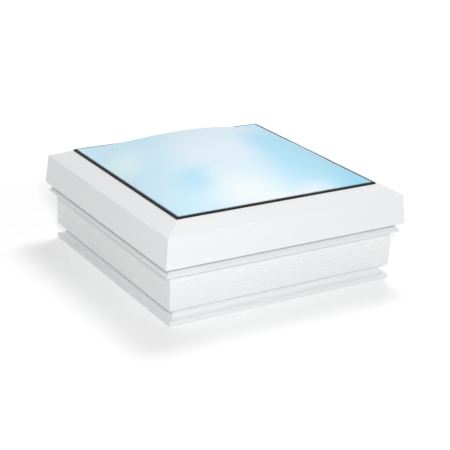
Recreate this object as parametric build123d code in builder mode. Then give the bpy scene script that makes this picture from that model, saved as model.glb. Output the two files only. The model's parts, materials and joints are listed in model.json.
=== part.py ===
from build123d import *
from math import atan2, floor, radians, sin, sqrt
import os

os.makedirs("parts", exist_ok=True)

# Opening dome skylight for a flat roof, in millimetres.
# Origin: middle of the kerb's underside. X runs along the front, +Y to the hinge side, +Z up.
# Section places are "out" (outwards from the kerb's outer wall plane) and z.

# Clear opening and the kerb wall around it
opening_width = 600.0
opening_depth = 600.0
wall_depth = 50.0
skin = 3.0
fit_gap = 0.3
cut_over = 5.0

# Kerb section, from the foot up
tip_height = 14.0
tip_land = 2.5
tip_step = 2.0
tip_round = 1.0
groove_reach = 19.0
groove_floor = 22.0
groove_roof = 30.0
cove_sag = 2.5
wall_foot = 44.5
rib_pitch = 8.6
rib_width = 3.0
rib_depth = 0.8
ledge_under = 143.5
ledge_thickness = 3.5
ledge_reach = 17.0
ledge_rise = 20.0
ledge_round = 1.2
kerb_head = 38.5
cell_rows = 3
column_share = 0.46

# Seals between kerb and sash
seal_gap = 8.0
seal_width = 9.0
seal_round = 2.5
seal_foot_width = 4.0
seal_foot_depth = 5.0
outer_seal_out = -7.5
inner_seal_out = -43.0

# Sash section
skirt_overhang = 25.0
skirt_drop = 24.0
skirt_thickness = 4.0
skirt_round = 1.2
skirt_height = 82.7
skirt_lean = 7.5
chamfer_run = 54.4
chamfer_rise = 23.3
shoulder_round = 2.0
lip_depth = 18.5
pocket_out = -16.0
web_share = 0.52

# Glazing beads that hold the glass unit from below
bead_overhang = 2.0
bead_round = 3.0
clip_height = 2.5
clip_reach = 4.0
clip_lift = 10.0

# Dome, glass unit and gasket in the sash pocket
gasket_foot = 2.0
gasket_width = 9.0
gasket_stand = 4.3
gasket_round = 2.4
dome_thickness = 4.0
dome_stand = 1.0
dome_rise = 83.0
crown_shares = (0, 1.2, 1, 1.2, 0)
dome_spacer_height = 4.0
dome_spacer_width = 20.0
glazing_edge = 2.0
pane_thickness = 4.0
pane_gap = 8.0
pane_spacer_width = 10.0

# Hinges in the cavity behind the back skirt
hinge_inset = 130.0
hinge_out = 12.0
hinge_drop = 4.0
hinge_length = 66.0
knuckle_radius = 5.5
knuckle_gap = 0.4
pin_radius = 2.5
pin_fit = 0.15
leaf_thickness = 2.5
leaf_clear = 1.0
leaf_lap = 5.0
strap_thickness = 4.0

# Gas struts along the left and right walls
strut_arm = 250.0
strut_foot_height = 40.0
strut_head_drop = 18.5
strut_inset = 14.0
strut_opening = 30.0
tube_radius = 7.5
tube_wall = 1.5
tube_start = 10.0
rod_radius = 3.0
rod_show = 26.0
rod_end_gap = 9.0
rod_fit = 0.3
eye_radius = 7.0
eye_width = 8.0
stud_radius = 3.0
stud_fit = 0.25
stud_head_radius = 5.0
stud_head_width = 2.0
bracket_width = 24.0
bracket_height = 30.0
bracket_thickness = 2.5
bracket_cut = 4.0

# Turn handle on the front bead and its keeper on the kerb
latch_width = 36.0
latch_thickness = 4.0
latch_round = 8.0
latch_clear = 2.5
latch_hang = 34.0
handle_drop = 21.5
spindle_radius = 6.0
tongue_length = 40.0
tongue_width = 10.0
tongue_thickness = 4.0
lever_length = 92.0
lever_width = 15.0
lever_tip_width = 11.0
lever_thickness = 8.0
lever_stand = 8.0
lever_bevel = 2.0
keeper_width = 22.0
keeper_clear = 4.0
keeper_thickness = 3.0
keeper_lip_gap = 1.5
keeper_height = 30.0
keeper_reach = 13.0

# Holes for the straps that tie the kerb to the roof timber
fixing_spacing = 400.0
fixing_height = 20.0
fixing_radius = 2.75

# Worked-out places
kerb_width = opening_width + 2 * wall_depth
kerb_depth = opening_depth + 2 * wall_depth
ledge_top = ledge_under + ledge_thickness
ledge_crest = ledge_top + ledge_rise
kerb_height = ledge_top + kerb_head
sash_under = kerb_height + seal_gap
skirt_bottom = sash_under - skirt_drop
shoulder = skirt_bottom + skirt_height
shoulder_out = skirt_overhang - skirt_lean
lip_out = shoulder_out - chamfer_run
lip_top = shoulder + chamfer_rise
lip_under = lip_top - lip_depth
bead_out = pocket_out - fit_gap
bead_inside = -wall_depth - bead_overhang
flange_top = lip_under - gasket_foot
flange_under = flange_top - dome_thickness
upper_pane_top = flange_under - dome_spacer_height
upper_pane_under = upper_pane_top - pane_thickness
lower_pane_top = upper_pane_under - pane_gap
bead_top = lower_pane_top - pane_thickness
gasket_out = lip_out - fit_gap
gasket_inside = gasket_out - gasket_width
gasket_top = lip_top + gasket_stand
dome_out = gasket_inside - fit_gap
dome_spring = gasket_top + dome_stand
glazing_out = bead_out - glazing_edge
hinge_y = kerb_depth / 2 + hinge_out
hinge_z = kerb_height - hinge_drop


def half_span(direction):
    """Half of the kerb's outside size in a direction along X or Y."""
    return abs(direction.X) * kerb_width / 2 + abs(direction.Y) * kerb_depth / 2


def along_side(outward):
    """Direction along a side of the frame, seen from the way that it faces."""
    return Vector(0, 0, 1).cross(outward)


def section_plane(outward):
    """Plane of a side's section: local x is out, local y is up, the side runs along its normal."""
    return Plane(outward * half_span(outward), x_dir=outward, z_dir=-along_side(outward))


def side_reach(outward):
    """Length of a side that runs past both mitres."""
    return half_span(along_side(outward)) + skirt_overhang + cut_over


def mitre_planes(outward):
    """Upright 45 degree planes through the two kerb corners at the ends of a side."""
    along = along_side(outward)
    planes = []
    for end in (along, -along):
        corner = outward * half_span(outward) + end * half_span(end)
        planes.append(Plane(corner, z_dir=end - outward))
    return planes


def wall_plane(outward, out):
    """Plane parallel to a side, facing outwards: local x along the side, local y up."""
    return Plane(outward * (half_span(outward) + out), x_dir=along_side(outward), z_dir=outward)


def ring_sketch(out, inside, z):
    """Rectangular ring between two out distances at one level."""
    with BuildSketch(Plane.XY.offset(z)) as ring:
        Rectangle(kerb_width + 2 * out, kerb_depth + 2 * out)
        Rectangle(kerb_width + 2 * inside, kerb_depth + 2 * inside, mode=Mode.SUBTRACT)
    return ring.sketch


def dome_face(out, spring, rise):
    """Blown crown over a rectangle: a patch with straight edges and a flat-topped rise."""
    steps = len(crown_shares) - 1
    half_x = kerb_width / 2 + out
    half_y = kerb_depth / 2 + out
    net = []
    for row, row_share in enumerate(crown_shares):
        x = half_x * (2 * row / steps - 1)
        points = []
        for column, column_height_share in enumerate(crown_shares):
            y = half_y * (2 * column / steps - 1)
            points.append(Vector(x, y, spring + rise * row_share * column_height_share))
        net.append(points)
    return Face.make_bezier_surface(net)


sides = {
    "front": Vector(0, -1, 0),
    "right": Vector(1, 0, 0),
    "back": Vector(0, 1, 0),
    "left": Vector(-1, 0, 0),
}

# Kerb: four mitred lengths of a multi-chamber extrusion with a ribbed outside
rib_count = floor((ledge_under - wall_foot) / rib_pitch)
cell_inside = -wall_depth + skin
cell_outside = -rib_depth - skin
cell_split = cell_inside + column_share * (cell_outside - cell_inside)
cell_columns = ((cell_inside, cell_split - skin / 2), (cell_split + skin / 2, cell_outside))
cell_bottom = wall_foot + skin
cell_top = kerb_height - seal_foot_depth - skin
cell_step = (cell_top - cell_bottom + skin) / cell_rows

with BuildSketch() as ledge_chamber:
    with BuildLine():
        Polyline(
            (0, ledge_under),
            (ledge_reach, ledge_under),
            (ledge_reach, ledge_top),
            (0, ledge_crest),
            close=True,
        )
    make_face()
    offset(amount=-skin, kind=Kind.INTERSECTION, mode=Mode.REPLACE)

for side, outward in sides.items():
    with BuildPart() as kerb_side:
        with BuildSketch(section_plane(outward)) as kerb_section:
            with BuildLine():
                Polyline((-wall_depth, 0), (0, 0), (0, tip_height), (-tip_land, tip_height))
                Line((-tip_land, tip_height), (-tip_land, tip_height - tip_step))
                SagittaArc((-tip_land, tip_height - tip_step), (-groove_reach, groove_floor), cove_sag)
                Polyline(
                    (-groove_reach, groove_floor),
                    (-groove_reach, groove_roof),
                    (0, wall_foot),
                    (0, ledge_under),
                    (ledge_reach, ledge_under),
                    (ledge_reach, ledge_top),
                    (0, ledge_crest),
                    (0, kerb_height),
                    (-wall_depth, kerb_height),
                    (-wall_depth, 0),
                )
            make_face()
            corners = kerb_section.vertices()
            fillet([corners.sort_by_distance((0, z))[0] for z in (0, tip_height)], tip_round)
            corners = kerb_section.vertices()
            ledge_ends = [(ledge_reach, ledge_under), (ledge_reach, ledge_top)]
            fillet([corners.sort_by_distance(end)[0] for end in ledge_ends], ledge_round)
            for rib in range(rib_count):
                valley = wall_foot + rib_pitch / 2 + rib * rib_pitch
                with BuildLine():
                    Polyline(
                        (0, valley - rib_width / 2),
                        (-rib_depth, valley),
                        (0, valley + rib_width / 2),
                        close=True,
                    )
                make_face(mode=Mode.SUBTRACT)
            for row in range(cell_rows):
                row_bottom = cell_bottom + row * cell_step
                for left, right in cell_columns:
                    with Locations((left, row_bottom)):
                        Rectangle(
                            right - left,
                            cell_step - skin,
                            align=(Align.MIN, Align.MIN),
                            mode=Mode.SUBTRACT,
                        )
            with Locations((cell_inside, skin)):
                Rectangle(
                    wall_depth - groove_reach - 2 * skin,
                    wall_foot - skin,
                    align=(Align.MIN, Align.MIN),
                    mode=Mode.SUBTRACT,
                )
            with Locations((-groove_reach, skin)):
                Rectangle(
                    groove_reach - skin,
                    tip_height - tip_step - 2 * skin,
                    align=(Align.MIN, Align.MIN),
                    mode=Mode.SUBTRACT,
                )
            add(ledge_chamber.sketch, mode=Mode.SUBTRACT)
            with Locations((outer_seal_out, kerb_height), (inner_seal_out, kerb_height)):
                Rectangle(seal_foot_width, 2 * seal_foot_depth, mode=Mode.SUBTRACT)
        extrude(amount=side_reach(outward), both=True)
        for cut in mitre_planes(outward):
            split(bisect_by=cut, keep=Keep.BOTTOM)
        with BuildSketch(wall_plane(outward, -wall_depth - cut_over)):
            with Locations((-fixing_spacing / 2, fixing_height), (fixing_spacing / 2, fixing_height)):
                Circle(fixing_radius)
        extrude(amount=cut_over + skin, mode=Mode.SUBTRACT)
    kerb_side.part.label = f"kerb_{side}"
    export_step(kerb_side.part, f"parts/kerb_{side}.step")

# Seals: one-piece rubber frames with a foot in the kerb's groove
for seal_name, seal_out in (("outer_seal", outer_seal_out), ("inner_seal", inner_seal_out)):
    foot_half = seal_foot_width / 2 - fit_gap
    with BuildPart() as seal:
        foot_bottom = kerb_height - seal_foot_depth + fit_gap
        add(ring_sketch(seal_out + foot_half, seal_out - foot_half, foot_bottom))
        extrude(amount=kerb_height - foot_bottom)
        add(ring_sketch(seal_out + seal_width / 2, seal_out - seal_width / 2, kerb_height))
        extrude(amount=seal_gap - fit_gap)
        fillet(seal.faces().sort_by(Axis.Z)[-1].edges(), seal_round)
    seal.part.label = seal_name
    export_step(seal.part, f"parts/{seal_name}.step")

# Sash: four mitred lengths with a weather skirt, a chamfered face and a pocket for the glazing
skirt_slope = skirt_lean / skirt_height
skirt_inside = skirt_overhang - skirt_thickness
cavity_corner = skirt_inside - skirt_drop * skirt_slope
body_corner = cavity_corner + skirt_thickness
web_z = sash_under + web_share * (shoulder - sash_under)
web_end = skirt_overhang - (web_z - skirt_bottom) * skirt_slope - skin / 2

with BuildSketch() as chamber:
    with BuildLine():
        Polyline(
            (pocket_out, sash_under),
            (body_corner, sash_under),
            (shoulder_out, shoulder),
            (lip_out, lip_top),
            (lip_out, lip_under),
            (pocket_out, lip_under),
            close=True,
        )
    make_face()
    offset(amount=-skin, kind=Kind.INTERSECTION, mode=Mode.REPLACE)

for side, outward in sides.items():
    with BuildPart() as sash_side:
        with BuildSketch(section_plane(outward)) as sash_section:
            with BuildLine():
                Polyline(
                    (skirt_overhang, skirt_bottom),
                    (shoulder_out, shoulder),
                    (lip_out, lip_top),
                    (lip_out, lip_under),
                    (pocket_out, lip_under),
                    (pocket_out, sash_under),
                    (cavity_corner, sash_under),
                    (skirt_inside, skirt_bottom),
                    close=True,
                )
            make_face()
            corners = sash_section.vertices()
            skirt_ends = [(skirt_overhang, skirt_bottom), (skirt_inside, skirt_bottom)]
            fillet([corners.sort_by_distance(end)[0] for end in skirt_ends], skirt_round)
            corners = sash_section.vertices()
            fillet(corners.sort_by_distance((shoulder_out, shoulder))[0], shoulder_round)
            add(chamber.sketch, mode=Mode.SUBTRACT)
            with Locations((pocket_out + skin / 2, web_z)):
                Rectangle(web_end - pocket_out - skin / 2, skin, align=(Align.MIN, Align.CENTER))
            with Locations((pocket_out, sash_under + clip_lift)):
                Rectangle(2 * (clip_reach + fit_gap), clip_height + 2 * fit_gap, mode=Mode.SUBTRACT)
        extrude(amount=side_reach(outward), both=True)
        for cut in mitre_planes(outward):
            split(bisect_by=cut, keep=Keep.BOTTOM)
    sash_side.part.label = f"sash_{side}"
    export_step(sash_side.part, f"parts/sash_{side}.step")

# Glazing beads: hollow lengths that clip into the sash from inside
for side, outward in sides.items():
    with BuildPart() as bead:
        with BuildSketch(section_plane(outward)) as bead_section:
            with Locations((bead_inside, sash_under)):
                Rectangle(bead_out - bead_inside, bead_top - sash_under, align=(Align.MIN, Align.MIN))
            room_corner = bead_section.vertices().sort_by_distance((bead_inside, sash_under))[0]
            fillet(room_corner, bead_round)
            with Locations((bead_inside + skin, sash_under + skin)):
                Rectangle(
                    bead_out - bead_inside - 2 * skin,
                    bead_top - sash_under - 2 * skin,
                    align=(Align.MIN, Align.MIN),
                    mode=Mode.SUBTRACT,
                )
            with Locations((bead_out, sash_under + clip_lift)):
                Rectangle(clip_reach, clip_height, align=(Align.MIN, Align.CENTER))
        extrude(amount=side_reach(outward), both=True)
        for cut in mitre_planes(outward):
            split(bisect_by=cut, keep=Keep.BOTTOM)
    bead.part.label = f"bead_{side}"
    export_step(bead.part, f"parts/bead_{side}.step")

# Outer dome: a flange under the sash lip, a riser inside the gasket and the blown crown
with BuildPart() as outer_dome:
    add(ring_sketch(glazing_out, dome_out - dome_thickness, flange_under))
    extrude(amount=dome_thickness)
    add(ring_sketch(dome_out, dome_out - dome_thickness, flange_under))
    extrude(amount=dome_spring - flange_under)
    extrude(dome_face(dome_out, dome_spring, dome_rise), amount=dome_thickness, dir=(0, 0, -1))
outer_dome.part.label = "outer_dome"
export_step(outer_dome.part, "parts/outer_dome.step")

# Foam frame between the dome's flange and the glass unit
with BuildPart() as dome_spacer:
    add(ring_sketch(glazing_out, glazing_out - dome_spacer_width, upper_pane_top))
    extrude(amount=dome_spacer_height)
dome_spacer.part.label = "dome_spacer"
export_step(dome_spacer.part, "parts/dome_spacer.step")

# Glass unit: two panes and the spacer bar between their edges, held up by the beads
for pane_name, pane_under in (("upper_pane", upper_pane_under), ("lower_pane", bead_top)):
    with BuildPart() as pane:
        with BuildSketch(Plane.XY.offset(pane_under)):
            Rectangle(kerb_width + 2 * glazing_out, kerb_depth + 2 * glazing_out)
        extrude(amount=pane_thickness)
    pane.part.label = pane_name
    export_step(pane.part, f"parts/{pane_name}.step")

with BuildPart() as pane_spacer:
    add(ring_sketch(glazing_out, glazing_out - pane_spacer_width, lower_pane_top))
    extrude(amount=pane_gap)
pane_spacer.part.label = "pane_spacer"
export_step(pane_spacer.part, "parts/pane_spacer.step")

# Gasket: a black rubber frame, clamped under the lip and standing up round the dome
with BuildPart() as dome_gasket:
    add(ring_sketch(glazing_out, gasket_inside, flange_top))
    extrude(amount=gasket_foot)
    add(ring_sketch(gasket_out, gasket_inside, flange_top))
    extrude(amount=gasket_top - flange_top)
    fillet(dome_gasket.faces().sort_by(Axis.Z)[-1].edges(), gasket_round)
dome_gasket.part.label = "dome_gasket"
export_step(dome_gasket.part, "parts/dome_gasket.step")

# Hinges: a kerb leaf with two knuckles, a sash leaf with one, and a pin through all three
knuckle_length = hinge_length / 3
kerb_face_y = kerb_depth / 2
hand_sides = {"left": -1, "right": 1}

for hand, turn in hand_sides.items():
    hinge_x = turn * (kerb_width / 2 - hinge_inset)
    hinge_plane = Plane((hinge_x, hinge_y, hinge_z), x_dir=(0, 1, 0), z_dir=(1, 0, 0))
    outer_knuckles = [-knuckle_length, knuckle_length]

    with BuildPart() as kerb_leaf:
        with BuildSketch(Plane.XZ.offset(-kerb_face_y - leaf_thickness)):
            with Locations((hinge_x, kerb_height)):
                Rectangle(hinge_length, kerb_head - ledge_rise - leaf_clear, align=(Align.CENTER, Align.MAX))
        extrude(amount=leaf_thickness)
        for shift in outer_knuckles:
            with BuildSketch(hinge_plane.offset(shift)):
                Circle(knuckle_radius)
                Rectangle(hinge_out, strap_thickness, align=(Align.MAX, Align.CENTER))
            extrude(amount=(knuckle_length - knuckle_gap) / 2, both=True)
        with BuildSketch(hinge_plane):
            Circle(pin_radius + pin_fit)
        extrude(amount=hinge_length, both=True, mode=Mode.SUBTRACT)
    kerb_leaf.part.label = f"kerb_hinge_leaf_{hand}"
    export_step(kerb_leaf.part, f"parts/kerb_hinge_leaf_{hand}.step")

    with BuildPart() as sash_leaf:
        with BuildSketch(Plane.XY.offset(sash_under - leaf_thickness)):
            with Locations((hinge_x, hinge_y)):
                Rectangle(hinge_length, 2 * leaf_lap)
        extrude(amount=leaf_thickness)
        with BuildSketch(hinge_plane):
            Circle(knuckle_radius)
            Rectangle(strap_thickness, sash_under - hinge_z, align=(Align.CENTER, Align.MIN))
            Circle(pin_radius + pin_fit, mode=Mode.SUBTRACT)
        extrude(amount=(knuckle_length - knuckle_gap) / 2, both=True)
    sash_leaf.part.label = f"sash_hinge_leaf_{hand}"
    export_step(sash_leaf.part, f"parts/sash_hinge_leaf_{hand}.step")

    with BuildPart() as hinge_pin:
        with BuildSketch(hinge_plane):
            Circle(pin_radius)
        extrude(amount=hinge_length / 2, both=True)
    hinge_pin.part.label = f"hinge_pin_{hand}"
    export_step(hinge_pin.part, f"parts/hinge_pin_{hand}.step")

# Gas struts: both ends stand equally far from the hinge line, so a strut turns half as fast as the sash
strut_head_height = bead_top - strut_head_drop
foot_fall = hinge_z - strut_foot_height
head_rise = strut_head_height - hinge_z
foot_y = hinge_y - sqrt(strut_arm**2 - foot_fall**2)
head_y = hinge_y - sqrt(strut_arm**2 - head_rise**2)
strut_line = Vector(0, head_y - foot_y, strut_head_height - strut_foot_height)
strut_length = strut_line.length
tube_length = strut_length - tube_start - rod_show
arm_angle = atan2(foot_fall, hinge_y - foot_y) + atan2(head_rise, hinge_y - head_y)


def strut_stretch(angle):
    """How much longer the strut is when the sash has turned by an angle in radians."""
    return 2 * strut_arm * (sin((arm_angle + angle) / 2) - sin(arm_angle / 2))


# The rod runs out in step with the sash, and the slot in its eye takes up what the arc adds half-way
full_angle = radians(strut_opening)
slot_travel = strut_stretch(full_angle / 2) - strut_stretch(full_angle) / 2
stud_end = strut_inset + eye_width / 2 + fit_gap

for hand, turn in hand_sides.items():
    outward = sides[hand]
    strut_x = turn * (kerb_width / 2 - wall_depth - strut_inset)
    foot_point = Vector(strut_x, foot_y, strut_foot_height)
    head_point = foot_point + strut_line
    tube_plane = Plane(foot_point, x_dir=(1, 0, 0), z_dir=strut_line)
    foot_eye_plane = Plane(foot_point, x_dir=strut_line, z_dir=(1, 0, 0))
    head_eye_plane = Plane(head_point, x_dir=strut_line, z_dir=(1, 0, 0))
    rod_start = tube_start + tube_radius + rod_end_gap

    with BuildPart() as strut_tube:
        with BuildSketch(tube_plane.offset(tube_start)):
            Circle(tube_radius)
        extrude(amount=tube_length)
        with BuildSketch(tube_plane.offset(tube_start + tube_radius)):
            Circle(tube_radius - tube_wall)
        extrude(amount=tube_length - 2 * tube_radius, mode=Mode.SUBTRACT)
        with BuildSketch(tube_plane.offset(tube_start + tube_radius)):
            Circle(rod_radius + rod_fit)
        extrude(amount=tube_length, mode=Mode.SUBTRACT)
        with BuildSketch(foot_eye_plane):
            Circle(eye_radius)
            Rectangle(tube_start + fit_gap, eye_width, align=(Align.MIN, Align.CENTER))
        extrude(amount=eye_width / 2, both=True)
        with BuildSketch(foot_eye_plane):
            Circle(stud_radius + stud_fit)
        extrude(amount=eye_width, both=True, mode=Mode.SUBTRACT)
    strut_tube.part.label = f"strut_tube_{hand}"
    export_step(strut_tube.part, f"parts/strut_tube_{hand}.step")

    with BuildPart() as strut_rod:
        with BuildSketch(tube_plane.offset(rod_start)):
            Circle(rod_radius)
        extrude(amount=strut_length - rod_start - stud_radius - stud_fit)
        with BuildSketch(head_eye_plane):
            with Locations((slot_travel / 2, 0)):
                SlotCenterToCenter(slot_travel, 2 * eye_radius)
        extrude(amount=eye_width / 2, both=True)
        with BuildSketch(head_eye_plane):
            with Locations((slot_travel / 2, 0)):
                SlotCenterToCenter(slot_travel, 2 * (stud_radius + stud_fit))
        extrude(amount=eye_width, both=True, mode=Mode.SUBTRACT)
    strut_rod.part.label = f"strut_rod_{hand}"
    export_step(strut_rod.part, f"parts/strut_rod_{hand}.step")

    # A bracket under each end: a plate with cut corners and a headed stud for the strut's eye
    seats = {
        f"kerb_strut_bracket_{hand}": (-wall_depth, foot_point, stud_end),
        f"sash_strut_bracket_{hand}": (bead_inside, head_point, stud_end - bead_overhang),
    }
    for bracket_name, (seat_out, pivot, reach) in seats.items():
        seat_plane = wall_plane(outward, seat_out)
        place = (turn * pivot.Y, pivot.Z)
        with BuildPart() as strut_bracket:
            with BuildSketch(seat_plane) as bracket_outline:
                with Locations(place):
                    Rectangle(bracket_width, bracket_height)
                chamfer(bracket_outline.vertices(), bracket_cut)
            extrude(amount=-bracket_thickness)
            with BuildSketch(seat_plane):
                with Locations(place):
                    Circle(stud_radius)
            extrude(amount=-reach)
            with BuildSketch(seat_plane.offset(-reach)):
                with Locations(place):
                    Circle(stud_head_radius)
            extrude(amount=-stud_head_width)
        strut_bracket.part.label = bracket_name
        export_step(strut_bracket.part, f"parts/{bracket_name}.step")

# Turn handle: hangs down when free, and its tongue turns under the keeper to hold the sash shut
handle_z = sash_under - handle_drop
latch_seat = wall_plane(sides["front"], bead_inside)
latch_top = bead_top - latch_clear
latch_bottom = sash_under - latch_hang

with BuildPart() as latch_plate:
    with BuildSketch(latch_seat):
        with Locations((0, (latch_top + latch_bottom) / 2)):
            RectangleRounded(latch_width, latch_top - latch_bottom, latch_round)
        with Locations((0, handle_z)):
            Circle(spindle_radius + pin_fit, mode=Mode.SUBTRACT)
    extrude(amount=-latch_thickness)
latch_plate.part.label = "latch_plate"
export_step(latch_plate.part, "parts/latch_plate.step")

tongue_front = latch_thickness + fit_gap
lever_front = tongue_front + tongue_thickness + lever_stand

with BuildPart() as latch_handle:
    with BuildSketch(latch_seat):
        with Locations((0, handle_z)):
            Circle(spindle_radius)
    extrude(amount=-lever_front)
    with BuildSketch(latch_seat.offset(-tongue_front)):
        with Locations((0, handle_z)):
            Rectangle(tongue_width, tongue_length, align=(Align.CENTER, Align.MAX))
    extrude(amount=-tongue_thickness)
    with BuildSketch(latch_seat.offset(-lever_front)):
        with Locations((0, handle_z)):
            Circle(lever_width / 2)
        with Locations((0, handle_z - lever_length)):
            Circle(lever_tip_width / 2)
        make_hull()
    extrude(amount=-lever_thickness)
    chamfer(latch_handle.faces().sort_by(Axis.Y)[-1].edges(), lever_bevel)
latch_handle.part.label = "latch_handle"
export_step(latch_handle.part, "parts/latch_handle.step")

keeper_middle = latch_width / 2 + keeper_clear + keeper_width / 2
keeper_lip = handle_z + tongue_width / 2 + keeper_lip_gap
keeper_seat = wall_plane(sides["front"], -wall_depth)

with BuildPart() as latch_keeper:
    with BuildSketch(keeper_seat):
        with Locations((keeper_middle, keeper_lip + keeper_thickness)):
            Rectangle(keeper_width, keeper_height, align=(Align.CENTER, Align.MAX))
    extrude(amount=-keeper_thickness)
    with BuildSketch(keeper_seat):
        with Locations((keeper_middle, keeper_lip)):
            Rectangle(keeper_width, keeper_thickness, align=(Align.CENTER, Align.MIN))
    extrude(amount=-keeper_reach)
latch_keeper.part.label = "latch_keeper"
export_step(latch_keeper.part, "parts/latch_keeper.step")
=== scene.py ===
"""Looks of an opening dome skylight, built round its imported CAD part. Metres, +Z up, front at -Y."""

import json
from math import cos, pi, radians, sin

import bmesh
import bpy
from mathutils import Matrix, Vector


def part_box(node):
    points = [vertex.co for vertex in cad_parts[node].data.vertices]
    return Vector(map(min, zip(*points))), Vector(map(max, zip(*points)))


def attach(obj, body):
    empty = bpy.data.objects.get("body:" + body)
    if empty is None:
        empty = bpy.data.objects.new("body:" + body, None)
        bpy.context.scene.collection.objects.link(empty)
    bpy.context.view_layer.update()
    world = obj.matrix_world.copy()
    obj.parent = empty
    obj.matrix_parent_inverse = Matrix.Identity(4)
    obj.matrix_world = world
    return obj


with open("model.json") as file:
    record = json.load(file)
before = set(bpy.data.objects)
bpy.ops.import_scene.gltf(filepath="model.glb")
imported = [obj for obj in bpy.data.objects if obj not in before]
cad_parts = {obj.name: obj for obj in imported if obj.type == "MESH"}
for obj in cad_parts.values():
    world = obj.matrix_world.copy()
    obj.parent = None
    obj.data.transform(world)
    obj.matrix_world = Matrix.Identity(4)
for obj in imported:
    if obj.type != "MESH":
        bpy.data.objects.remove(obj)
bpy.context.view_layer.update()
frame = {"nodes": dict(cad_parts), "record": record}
nodes = frame["nodes"]
slot_of = {row["node"]: row["material_slot"] for row in frame["record"]["subparts"]}

# Camera of the photograph, fitted with the plan taken as square
IMAGE_PIXELS = 450
FOCAL_PIXELS = 1249.2
SENSOR_WIDTH = 36.0
CAMERA_PLACE = Vector((-1.74029, -2.87601, 1.40192))
CAMERA_AZIMUTH = radians(-31.495)
CAMERA_ELEVATION = radians(21.186)
CAMERA_ROLL = radians(1.906)

# Light: two soft lamps, a plain sky and the bounce of a pale floor.
# A lamp's level is the brightness of a white face that looks straight at it.
LAMPS = {
    "front_lamp": {"from": Vector((-0.41, -0.77, 0.50)), "level": 0.45, "distance": 5.0, "size": 0.8},
    "back_lamp": {"from": Vector((0.36, 0.33, 0.87)), "level": 0.38, "distance": 5.0, "size": 1.8},
}
SKY_WHITE = (1.0, 1.0, 1.0, 1.0)
SKY_STRENGTH = 0.35

# Floor: its shade, and a glow that is only seen and rises between two distances from the middle
FLOOR_HALF = 20.0
FLOOR_DROP = 0.0002
FLOOR_SHADE = (0.95, 0.95, 0.95, 1.0)
FLOOR_GLOW_NEAR = 0.15
FLOOR_GLOW_FAR = 0.40
FLOOR_NEAR = 0.45
FLOOR_FAR = 2.2

# Colours, linear
PVC_WHITE = (0.868, 0.878, 0.884, 1.0)
PVC_SHADE = (0.853, 0.864, 0.871, 1.0)
PVC_SEAM = (0.60, 0.615, 0.63, 1.0)
RUBBER_BLACK = (0.011, 0.013, 0.015, 1.0)
RUBBER_BLOOM = (0.028, 0.031, 0.034, 1.0)
FOAM_GREY = (0.22, 0.23, 0.24, 1.0)
FOAM_PORE = (0.10, 0.105, 0.11, 1.0)
# Tints of the dome's painted reflection of a pale cloudy sky
DOME_PALE = (0.66, 0.89, 1.0, 1.0)
DOME_HAZE = (0.81, 0.91, 1.0, 1.0)
DOME_BLUE = (0.49, 0.81, 0.98, 1.0)
DOME_DEEP = (0.40, 0.77, 0.96, 1.0)
DOME_MIST = (0.80, 0.965, 1.0, 1.0)
DOME_REFLECTED_CLOUD = (0.93, 0.975, 0.985, 1.0)
GLASS_TINT = (0.90, 0.97, 0.95, 1.0)
BAR_BRIGHT = (0.62, 0.63, 0.64, 1.0)
BAR_DULL = (0.45, 0.46, 0.47, 1.0)
ZINC_BRIGHT = (0.66, 0.67, 0.69, 1.0)
ZINC_DULL = (0.50, 0.51, 0.54, 1.0)
HANDLE_GREY = (0.62, 0.63, 0.64, 1.0)
HANDLE_RUBBED = (0.50, 0.51, 0.52, 1.0)
STRUT_BLACK = (0.016, 0.016, 0.017, 1.0)
STRUT_SCUFF = (0.06, 0.06, 0.062, 1.0)
CHROME_BRIGHT = (0.74, 0.75, 0.76, 1.0)
CHROME_OILED = (0.60, 0.61, 0.62, 1.0)

# Painted reflection of a cloudy sky in the dome's colour: a tint and its patches. A patch is a middle on
# the plan, a core, a reach and a stretch along X, and a core below zero keeps it from reaching its full
# tint.
DOME_SKY_REFLECTION = (
    (DOME_HAZE, (
        ((0.05, 0.16), 0.08, 0.25, 0.8),
        ((-0.05, -0.04), 0.05, 0.21, 0.9),
    )),
    (DOME_BLUE, (
        ((0.26, -0.12), 0.13, 0.29, 0.95),
        # Deeper blue on the back right slope: painted shade that offsets the back lamp's stronger light
        # there
        ((0.28, 0.15), 0.0, 0.17, 1.0),
        ((-0.175, -0.17), -0.03, 0.095, 1.0),
    )),
    (DOME_DEEP, (
        ((0.32, -0.30), 0.04, 0.16, 1.0),
    )),
    (DOME_MIST, (
        ((-0.27, 0.06), -0.02, 0.12, 0.75),
    )),
    (DOME_REFLECTED_CLOUD, (
        ((-0.07, -0.25), 0.0, 0.13, 1.3),
        ((0.03, -0.315), 0.01, 0.06, 3.2),
    )),
)
DOME_DRIFT = 0.10
DOME_DRIFT_SCALE = 6.0

# Relief of the finishes
DRAG_RELIEF = 0.0003
RUBBER_RELIEF = 0.0003
PORE_RELIEF = 0.0006
METAL_RELIEF = 0.0002
PEEL_RELIEF = 0.0002

# White plastic: the weld line's width, and how busy drag lines are along a length, as a share of across it
SEAM_WIDTH = 0.0007
DRAG_ALONG_SHARE = 0.012

# A noise has this middle, and most of its values lie between the other two
NOISE_MIDDLE = 0.5
NOISE_LOW = 0.3
NOISE_HIGH = 0.7

# What Pointiness gives on a flat face
FLAT_POINTINESS = 0.5

# Screw heads
SCREW_RADIUS = 0.0032
SCREW_HEIGHT = 0.0016
SCREW_SEAT = 0.0002
SCREW_SIDE_HEIGHT_SHARE = 0.45
SCREW_SHOULDER_RADIUS_SHARE = 0.90
SCREW_SHOULDER_HEIGHT_SHARE = 0.82
SCREW_CROWN_RADIUS_SHARE = 0.72
RECESS_REACH = 0.0019
RECESS_HALF = 0.0005
RECESS_DEPTH = 0.0009
RECESS_FLOOR_SHARE = 0.7
RIM_STEPS = 24
FIRST_TURN = 0.3
NEXT_TURN = 0.7

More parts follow.
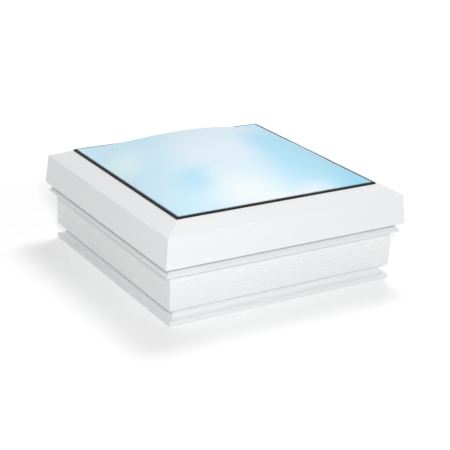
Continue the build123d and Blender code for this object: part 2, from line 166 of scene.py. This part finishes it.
# Places of the screws on their fittings
LEAF_PLATE = 0.0025
KERB_LEAF_SPREAD = 0.02
KERB_LEAF_UP = 0.0045
SASH_LEAF_SPREAD = 0.023
BRACKET_PLATE = 0.0025
BRACKET_INSET = 0.0045
LATCH_PLATE_INSET = 0.008
LATCH_PLATE_DROPS = (0.008, 0.028)
KEEPER_PLATE = 0.003
KEEPER_INSET = 0.006
KEEPER_UP = 0.008


def feed(tree, node, feeds):
    """Fills a node's inputs. Each feed is a value, or the output that is wired in."""
    for socket, value in feeds.items():
        if isinstance(value, bpy.types.NodeSocket):
            tree.links.new(value, node.inputs[socket])
        else:
            node.inputs[socket].default_value = value


def put(tree, kind, feeds=None, **settings):
    """Adds a node with its settings and feeds."""
    node = tree.nodes.new(kind)
    for setting, value in settings.items():
        setattr(node, setting, value)
    feed(tree, node, feeds or {})
    return node


def maths(tree, operation, *feeds):
    """Output of a Math node."""
    return put(tree, "ShaderNodeMath", dict(enumerate(feeds)), operation=operation).outputs[0]


def vector_maths(tree, operation, *feeds):
    """Vector from a Vector Math node."""
    return put(tree, "ShaderNodeVectorMath", dict(enumerate(feeds)), operation=operation).outputs[0]


def length_of(tree, vector):
    """Length of a vector."""
    return put(tree, "ShaderNodeVectorMath", {0: vector}, operation="LENGTH").outputs["Value"]


def span(tree, value, low, high, to_low=0.0, to_high=1.0):
    """Output that goes smoothly from one value to another as an input crosses a span."""
    feeds = {"Value": value, "From Min": low, "From Max": high, "To Min": to_low, "To Max": to_high}
    return put(tree, "ShaderNodeMapRange", feeds, interpolation_type="SMOOTHSTEP").outputs["Result"]


def blend_numbers(tree, share, first, second):
    """Output between two numbers, which a Mix node takes at sockets 2 and 3."""
    return put(tree, "ShaderNodeMix", {0: share, 2: first, 3: second}).outputs[0]


def blend_colours(tree, share, first, second):
    """Output between two colours, which a Mix node takes at sockets 6 and 7."""
    return put(tree, "ShaderNodeMix", {0: share, 6: first, 7: second}, data_type="RGBA").outputs[2]


def noise(tree, place, scale, detail=3.0, roughness=0.5):
    """Factor of a noise texture."""
    feeds = {"Vector": place, "Scale": scale, "Detail": detail, "Roughness": roughness}
    return put(tree, "ShaderNodeTexNoise", feeds).outputs["Fac"]


def object_place(tree):
    """Place on the object, which is the part's own frame for a CAD node."""
    return put(tree, "ShaderNodeTexCoord").outputs["Object"]


def new_group(name, inputs, outputs):
    """Empty node group with number inputs and outputs, and the sockets inside it."""
    group = bpy.data.node_groups.new(name, "ShaderNodeTree")
    for label, value in inputs.items():
        socket = group.interface.new_socket(label, in_out="INPUT", socket_type="NodeSocketFloat")
        socket.default_value = value
    for label in outputs:
        group.interface.new_socket(label, in_out="OUTPUT", socket_type="NodeSocketFloat")
    entry = group.nodes.new("NodeGroupInput")
    leave = group.nodes.new("NodeGroupOutput")
    return group, entry.outputs, leave.inputs


def profile_run_group():
    """Drag lines along each mitred length, and the weld line where two lengths meet."""
    inputs = {"Line Scale": 260.0, "Seam Width": SEAM_WIDTH}
    group, given, gives = new_group("profile_run", inputs, ("Lines", "Cloudy", "Seam"))
    place = object_place(group)
    axes = put(group, "ShaderNodeSeparateXYZ", {0: place}).outputs
    far_x = maths(group, "ABSOLUTE", axes["X"])
    far_y = maths(group, "ABSOLUTE", axes["Y"])
    on_flank = maths(group, "GREATER_THAN", far_x, far_y)
    across = blend_numbers(group, on_flank, axes["Y"], axes["X"])
    along = blend_numbers(group, on_flank, axes["X"], axes["Y"])
    slow_along = maths(group, "MULTIPLY", along, DRAG_ALONG_SHARE)
    stretched = put(group, "ShaderNodeCombineXYZ", {0: across, 1: slow_along, 2: axes["Z"]}).outputs[0]
    group.links.new(noise(group, stretched, given["Line Scale"], detail=2.0), gives["Lines"])
    group.links.new(noise(group, place, scale=7.0, detail=4.0, roughness=0.6), gives["Cloudy"])
    from_mitre = maths(group, "ABSOLUTE", maths(group, "SUBTRACT", far_x, far_y))
    group.links.new(span(group, from_mitre, given["Seam Width"], 0.0), gives["Seam"])
    return group


def fine_grain_group():
    """Fine moulded or cast grain, with a slower unevenness over it."""
    inputs = {"Grain Scale": 900.0, "Patch Scale": 25.0}
    group, given, gives = new_group("fine_grain", inputs, ("Grain", "Patches"))
    place = object_place(group)
    group.links.new(noise(group, place, given["Grain Scale"], roughness=0.6), gives["Grain"])
    group.links.new(noise(group, place, given["Patch Scale"], detail=4.0, roughness=0.55), gives["Patches"])
    return group


def handled_edge_group():
    """Mask of the edges that hands and tools rub, broken up by noise."""
    group, given, gives = new_group("handled_edge", {"Reach": 0.06, "Break Scale": 140.0}, ("Worn",))
    edge = put(group, "ShaderNodeNewGeometry").outputs["Pointiness"]
    lift = maths(group, "SUBTRACT", edge, FLAT_POINTINESS)
    broken = maths(group, "MULTIPLY", lift, noise(group, object_place(group), given["Break Scale"]))
    reach = maths(group, "MULTIPLY", given["Reach"], NOISE_MIDDLE)
    group.links.new(span(group, broken, 0.0, reach), gives["Worn"])
    return group


profile_run = profile_run_group()
fine_grain = fine_grain_group()
handled_edge = handled_edge_group()


def new_material(name):
    """Material with a Principled shader, its tree and the shader."""
    material = bpy.data.materials.new(name)
    material.use_nodes = True
    tree = material.node_tree
    return material, tree, tree.nodes["Principled BSDF"]


def place_group(tree, group, values):
    """Outputs of a group placed in a material with its own values."""
    return put(tree, "ShaderNodeGroup", values, node_tree=group).outputs


def bump(tree, height, strength, distance):
    """Normal of a small relief."""
    feeds = {"Height": height, "Strength": strength, "Distance": distance}
    return put(tree, "ShaderNodeBump", feeds).outputs["Normal"]


def uneven_sheen(tree, value, rough_low, rough_high):
    """Roughness that follows a noise."""
    return span(tree, value, NOISE_LOW, NOISE_HIGH, rough_low, rough_high)


def pvc_material(name, line_scale, rough_low, rough_high):
    """White extruded plastic: faint drag lines, slow shading and a flush weld at the corners."""
    material, tree, shader = new_material(name)
    run = place_group(tree, profile_run, {"Line Scale": line_scale})
    uneven = maths(tree, "MULTIPLY", run["Lines"], run["Cloudy"])
    share = span(tree, uneven, low=0.15, high=0.5, to_high=0.6)
    plain = blend_colours(tree, share, PVC_WHITE, PVC_SHADE)
    feed(tree, shader, {
        "Base Color": blend_colours(tree, run["Seam"], plain, PVC_SEAM),
        "Roughness": uneven_sheen(tree, run["Lines"], rough_low, rough_high),
        "Normal": bump(tree, run["Lines"], strength=0.01, distance=DRAG_RELIEF),
    })
    return material


def rubber_material():
    """Black extruded rubber with a dull bloom."""
    material, tree, shader = new_material("black_rubber")
    grain = place_group(tree, fine_grain, {"Grain Scale": 1400.0, "Patch Scale": 40.0})
    share = span(tree, grain["Patches"], low=0.4, high=0.75)
    feed(tree, shader, {
        "Base Color": blend_colours(tree, share, RUBBER_BLACK, RUBBER_BLOOM),
        "Roughness": uneven_sheen(tree, grain["Grain"], rough_low=0.55, rough_high=0.75),
        "Normal": bump(tree, grain["Grain"], strength=0.15, distance=RUBBER_RELIEF),
        "Specular IOR Level": 0.2,
    })
    return material


def foam_material():
    """Grey closed-cell foam with open pores on its cut faces."""
    material, tree, shader = new_material("grey_foam")
    cells = put(tree, "ShaderNodeTexVoronoi", {"Vector": object_place(tree), "Scale": 700.0})
    pores = cells.outputs["Distance"]
    share = span(tree, pores, low=0.15, high=0.45)
    feed(tree, shader, {
        "Base Color": blend_colours(tree, share, FOAM_PORE, FOAM_GREY),
        "Roughness": 0.9,
        "Normal": bump(tree, pores, strength=0.5, distance=PORE_RELIEF),
    })
    return material


def soft_patch(tree, place, middle, core, reach, stretch):
    """Mask that fades out from a point on the dome, longer along X where it is stretched."""
    from_middle = vector_maths(tree, "SUBTRACT", place, (*middle, 0.0))
    squeezed = vector_maths(tree, "MULTIPLY", from_middle, (1 / stretch, 1.0, 0.0))
    return span(tree, length_of(tree, squeezed), reach, core)


def dome_material():
    """Blown acrylic with a low sheen, its colour a painted reflection of a pale blue sky with soft white
    clouds.
    """
    material, tree, shader = new_material("dome_acrylic")
    place = object_place(tree)
    swirl = put(tree, "ShaderNodeTexNoise", {"Vector": place, "Scale": DOME_DRIFT_SCALE, "Detail": 3.0})
    centred = vector_maths(tree, "SUBTRACT", swirl.outputs["Color"], (NOISE_MIDDLE,) * 3)
    moved = vector_maths(tree, "MULTIPLY", centred, (DOME_DRIFT,) * 3)
    wandering = vector_maths(tree, "ADD", place, moved)
    colour = DOME_PALE
    for tint, patches in DOME_SKY_REFLECTION:
        for patch in patches:
            colour = blend_colours(tree, soft_patch(tree, wandering, *patch), colour, tint)
    ripple = noise(tree, place, scale=60.0, detail=2.0)
    feed(tree, shader, {
        "Base Color": colour,
        "Roughness": uneven_sheen(tree, ripple, rough_low=0.38, rough_high=0.46),
        "IOR": 1.49,
        "Specular IOR Level": 0.01,
    })
    return material


def glass_material():
    """Clear float glass with a faint tint."""
    material, tree, shader = new_material("clear_glass")
    film = noise(tree, object_place(tree), scale=12.0, detail=4.0, roughness=0.6)
    feed(tree, shader, {
        "Base Color": GLASS_TINT,
        "Roughness": span(tree, film, low=0.45, high=0.75, to_high=0.035),
        "Transmission Weight": 1.0,
        "IOR": 1.45,
    })
    return material


def metal_material(name, bright, dull, grain_values, rough_low, rough_high):
    """Bare or plated metal with a fine grain and duller patches."""
    material, tree, shader = new_material(name)
    grain = place_group(tree, fine_grain, grain_values)
    share = span(tree, grain["Patches"], low=0.38, high=0.66)
    feed(tree, shader, {
        "Base Color": blend_colours(tree, share, bright, dull),
        "Roughness": uneven_sheen(tree, grain["Patches"], rough_low, rough_high),
        "Normal": bump(tree, grain["Grain"], strength=0.05, distance=METAL_RELIEF),
        "Metallic": 1.0,
    })
    return material


def coated_material(name, coat, rubbed, rough_low, rough_high):
    """Coated metal with a fine orange peel and rubbed edges."""
    material, tree, shader = new_material(name)
    grain = place_group(tree, fine_grain, {"Grain Scale": 700.0, "Patch Scale": 60.0})
    worn = place_group(tree, handled_edge, {"Reach": 0.05})["Worn"]
    feed(tree, shader, {
        "Base Color": blend_colours(tree, worn, coat, rubbed),
        "Roughness": uneven_sheen(tree, grain["Patches"], rough_low, rough_high),
        "Normal": bump(tree, grain["Grain"], strength=0.08, distance=PEEL_RELIEF),
    })
    return material


pvc_of = {
    "kerb": pvc_material("kerb_pvc", line_scale=240.0, rough_low=0.36, rough_high=0.46),
    "sash": pvc_material("sash_pvc", line_scale=320.0, rough_low=0.30, rough_high=0.40),
    "bead": pvc_material("bead_pvc", line_scale=400.0, rough_low=0.32, rough_high=0.42),
}
finishes = {
    "black_rubber": rubber_material(),
    "grey_foam": foam_material(),
    "dome_acrylic": dome_material(),
    "clear_glass": glass_material(),
    "spacer_bar": metal_material(
        "spacer_bar", BAR_BRIGHT, BAR_DULL, {"Grain Scale": 1200.0}, rough_low=0.35, rough_high=0.5
    ),
    "zinc_steel": metal_material(
        "zinc_steel", ZINC_BRIGHT, ZINC_DULL, {"Patch Scale": 120.0}, rough_low=0.28, rough_high=0.45
    ),
    "strut_chrome": metal_material(
        "strut_chrome", CHROME_BRIGHT, CHROME_OILED, {"Patch Scale": 50.0}, rough_low=0.06, rough_high=0.14
    ),
    "handle_metal": coated_material(
        "handle_metal", HANDLE_GREY, HANDLE_RUBBED, rough_low=0.32, rough_high=0.42
    ),
    "strut_paint": coated_material(
        "strut_paint", STRUT_BLACK, STRUT_SCUFF, rough_low=0.28, rough_high=0.4
    ),
}

for name, node in nodes.items():
    material = finishes.get(slot_of[name]) or pvc_of[name.split("_")[0]]
    node.data.materials.clear()
    node.data.materials.append(material)


def ring_of(made, radius, height, steps):
    """Circle of vertices at one height."""
    turns = [2 * pi * step / steps for step in range(steps)]
    return [made.verts.new((radius * cos(turn), radius * sin(turn), height)) for turn in turns]


def close_band(made, lower, upper):
    """Faces between two rings with the same number of vertices."""
    count = len(lower)
    for step in range(count):
        after = (step + 1) % count
        made.faces.new((lower[step], lower[after], upper[after], upper[step]))


def screw_head(made):
    """Pan head with a cross recess, standing on z = 0."""
    shoulder_radius = SCREW_RADIUS * SCREW_SHOULDER_RADIUS_SHARE
    seat = ring_of(made, SCREW_RADIUS, -SCREW_SEAT, RIM_STEPS)
    side = ring_of(made, SCREW_RADIUS, SCREW_HEIGHT * SCREW_SIDE_HEIGHT_SHARE, RIM_STEPS)
    shoulder = ring_of(made, shoulder_radius, SCREW_HEIGHT * SCREW_SHOULDER_HEIGHT_SHARE, RIM_STEPS)
    crown = ring_of(made, SCREW_RADIUS * SCREW_CROWN_RADIUS_SHARE, SCREW_HEIGHT, RIM_STEPS)
    for lower, upper in ((seat, side), (side, shoulder), (shoulder, crown)):
        close_band(made, lower, upper)
    made.faces.new(list(reversed(seat)))
    quarter = [(RECESS_REACH, -RECESS_HALF), (RECESS_REACH, RECESS_HALF), (RECESS_HALF, RECESS_HALF)]
    outline = []
    for turn in range(4):
        for corner in quarter:
            outline.append(Matrix.Rotation(turn * pi / 2, 2) @ Vector(corner))
    recess_floor = SCREW_HEIGHT - RECESS_DEPTH
    top = [made.verts.new((*corner, SCREW_HEIGHT)) for corner in outline]
    bottom = [made.verts.new((*(corner * RECESS_FLOOR_SHARE), recess_floor)) for corner in outline]
    close_band(made, bottom, top)
    made.faces.new(bottom)
    edges = []
    for loop in (crown, top):
        for step, vertex in enumerate(loop):
            edges.append(made.edges.get((vertex, loop[step - 1])))
    bmesh.ops.triangle_fill(made, use_beauty=True, edges=edges)
    bmesh.ops.recalc_face_normals(made, faces=made.faces[:])


def screws(name, body, facing, places):
    """A set of screw heads on one fitting, each turned a little differently."""
    one = bmesh.new()
    screw_head(one)
    head = bpy.data.meshes.new(name + "_head")
    one.to_mesh(head)
    one.free()
    all_heads = bmesh.new()
    upright = Vector((0, 0, 1)).rotation_difference(Vector(facing)).to_matrix().to_4x4()
    for count, place in enumerate(places):
        start = len(all_heads.verts)
        all_heads.from_mesh(head)
        all_heads.verts.ensure_lookup_table()
        turned = upright @ Matrix.Rotation(NEXT_TURN * count + FIRST_TURN, 4, "Z")
        placed = Matrix.Translation(place) @ turned
        bmesh.ops.transform(all_heads, matrix=placed, verts=all_heads.verts[start:])
    mesh = bpy.data.meshes.new(name)
    all_heads.to_mesh(mesh)
    all_heads.free()
    bpy.data.meshes.remove(head)
    mesh.materials.append(finishes["zinc_steel"])
    piece = bpy.data.objects.new(name, mesh)
    bpy.context.scene.collection.objects.link(piece)
    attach(piece, body)


# Screws that hold the hinges and struts
for hand, outward in (("left", -1), ("right", 1)):
    low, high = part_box(f"kerb_hinge_leaf_{hand}")
    hinge_x = (low.x + high.x) / 2
    columns = (hinge_x - KERB_LEAF_SPREAD, hinge_x + KERB_LEAF_SPREAD)
    seats = [Vector((x, low.y + LEAF_PLATE, low.z + KERB_LEAF_UP)) for x in columns]
    screws(f"kerb_leaf_screws_{hand}", "kerb", (0, 1, 0), seats)
    low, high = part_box(f"sash_hinge_leaf_{hand}")
    columns = (hinge_x - SASH_LEAF_SPREAD, hinge_x + SASH_LEAF_SPREAD)
    seats = [Vector((x, (low.y + high.y) / 2, high.z - LEAF_PLATE)) for x in columns]
    screws(f"sash_leaf_screws_{hand}", "sash", (0, 0, -1), seats)
    for body in ("kerb", "sash"):
        low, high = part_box(f"{body}_strut_bracket_{hand}")
        wall_x = high.x if outward > 0 else low.x
        plate_x = wall_x - outward * BRACKET_PLATE
        rows = (low.z + BRACKET_INSET, high.z - BRACKET_INSET)
        seats = [Vector((plate_x, (low.y + high.y) / 2, z)) for z in rows]
        screws(f"{body}_bracket_screws_{hand}", body, (-outward, 0, 0), seats)

# Screws that hold the handle's plate and its keeper
low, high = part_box("latch_plate")
columns = (low.x + LATCH_PLATE_INSET, high.x - LATCH_PLATE_INSET)
seats = [Vector((x, high.y, high.z - drop)) for x in columns for drop in LATCH_PLATE_DROPS]
screws("latch_plate_screws", "sash", (0, 1, 0), seats)
low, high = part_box("latch_keeper")
columns = (low.x + KEEPER_INSET, high.x - KEEPER_INSET)
seats = [Vector((x, low.y + KEEPER_PLATE, low.z + KEEPER_UP)) for x in columns]
screws("keeper_screws", "kerb", (0, 1, 0), seats)


# Floor, sky, lamps and camera
def seen_rays(tree):
    """1 for rays that show the background, straight, in a mirror or through glass, and 0 for light."""
    path = put(tree, "ShaderNodeLightPath").outputs
    seen = maths(tree, "ADD", path["Is Camera Ray"], path["Is Glossy Ray"])
    return maths(tree, "MINIMUM", maths(tree, "ADD", seen, path["Is Transmission Ray"]), 1.0)


def floor_material():
    """Pale floor that shows the soft shadow, and is white where nothing shades it."""
    material = bpy.data.materials.new("floor")
    material.use_nodes = True
    tree = material.node_tree
    tree.nodes.clear()
    matt = put(tree, "ShaderNodeBsdfDiffuse", {"Color": FLOOR_SHADE})
    far = length_of(tree, object_place(tree))
    strength = span(tree, far, FLOOR_NEAR, FLOOR_FAR, FLOOR_GLOW_NEAR, FLOOR_GLOW_FAR)
    glow = put(tree, "ShaderNodeEmission", {"Strength": maths(tree, "MULTIPLY", seen_rays(tree), strength)})
    both = put(tree, "ShaderNodeAddShader", {0: matt.outputs[0], 1: glow.outputs[0]})
    put(tree, "ShaderNodeOutputMaterial", {"Surface": both.outputs[0]})
    return material


floor_mesh = bpy.data.meshes.new("floor")
corners = [(FLOOR_HALF * x, FLOOR_HALF * y, 0) for x, y in ((-1, -1), (1, -1), (1, 1), (-1, 1))]
floor_mesh.from_pydata(corners, [], [(0, 1, 2, 3)])
floor_mesh.materials.append(floor_material())
floor = bpy.data.objects.new("floor", floor_mesh)
floor.location.z = -FLOOR_DROP
bpy.context.scene.collection.objects.link(floor)

world = bpy.data.worlds.new("plain_sky")
bpy.context.scene.world = world
world.use_nodes = True
sky = world.node_tree
sky.nodes.clear()
strength = maths(sky, "MAXIMUM", seen_rays(sky), SKY_STRENGTH)
plain_sky = put(sky, "ShaderNodeBackground", {"Color": SKY_WHITE, "Strength": strength})
put(sky, "ShaderNodeOutputWorld", {"Surface": plain_sky.outputs[0]})

for name, lamp in LAMPS.items():
    lamp_data = bpy.data.lights.new(name, "AREA")
    lamp_data.shape = "SQUARE"
    lamp_data.size = lamp["size"]
    lamp_data.energy = lamp["level"] * (pi * lamp["distance"]) ** 2
    stand = bpy.data.objects.new(name, lamp_data)
    stand.location = lamp["from"].normalized() * lamp["distance"]
    stand.rotation_mode = "QUATERNION"
    stand.rotation_quaternion = lamp["from"].to_track_quat("Z", "Y")
    stand.visible_glossy = False
    bpy.context.scene.collection.objects.link(stand)

camera_data = bpy.data.cameras.new("camera")
camera_data.sensor_width = SENSOR_WIDTH
camera_data.lens = FOCAL_PIXELS * SENSOR_WIDTH / IMAGE_PIXELS
camera = bpy.data.objects.new("camera", camera_data)
back = Vector((
    sin(CAMERA_AZIMUTH) * cos(CAMERA_ELEVATION),
    -cos(CAMERA_AZIMUTH) * cos(CAMERA_ELEVATION),
    sin(CAMERA_ELEVATION),
))
level = Vector((cos(CAMERA_AZIMUTH), sin(CAMERA_AZIMUTH), 0))
above = back.cross(level)
right = cos(CAMERA_ROLL) * level + sin(CAMERA_ROLL) * above
up = cos(CAMERA_ROLL) * above - sin(CAMERA_ROLL) * level
view = Matrix((right, up, back)).transposed().to_4x4()
camera.matrix_world = Matrix.Translation(CAMERA_PLACE) @ view
bpy.context.scene.collection.objects.link(camera)
bpy.context.scene.camera = camera
bpy.context.scene.view_settings.view_transform = "Standard"
